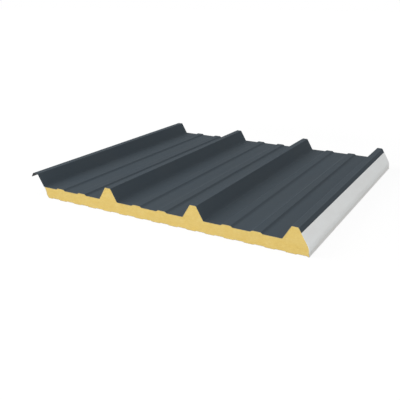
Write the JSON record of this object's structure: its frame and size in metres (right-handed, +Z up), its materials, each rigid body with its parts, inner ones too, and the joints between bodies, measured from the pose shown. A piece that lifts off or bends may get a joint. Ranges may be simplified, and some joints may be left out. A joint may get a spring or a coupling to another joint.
{
  "type": "insulated sandwich panel",
  "caption": "Roof sandwich panel: ribbed steel outer sheet and micro-ribbed steel liner bonded to a rigid foam core, with a lap rib on one side.",
  "frame": {"origin": "bottom centre of the bounding box: middle of the overall width and of the length, on the liner's lowest plane", "axes": "+X across the width, from the empty overlap rib to the foam-filled underlap rib; +Y along the ribs; +Z up, from the liner to the ribbed outer sheet"},
  "size_m": [1.0678, 1, 0.085],
  "materials": {
    "outer_sheet": "satin",
    "foam_core": "matte",
    "liner_sheet": "satin",
    "left_side_tape": "matte",
    "right_side_tape": "matte"
  },
  "bodies": {
    "root": {"outer_sheet": "outer_sheet", "foam_core": "foam_core", "liner_sheet": "liner_sheet", "left_side_tape": "left_side_tape", "right_side_tape": "right_side_tape"}
  },
  "joints": []
}
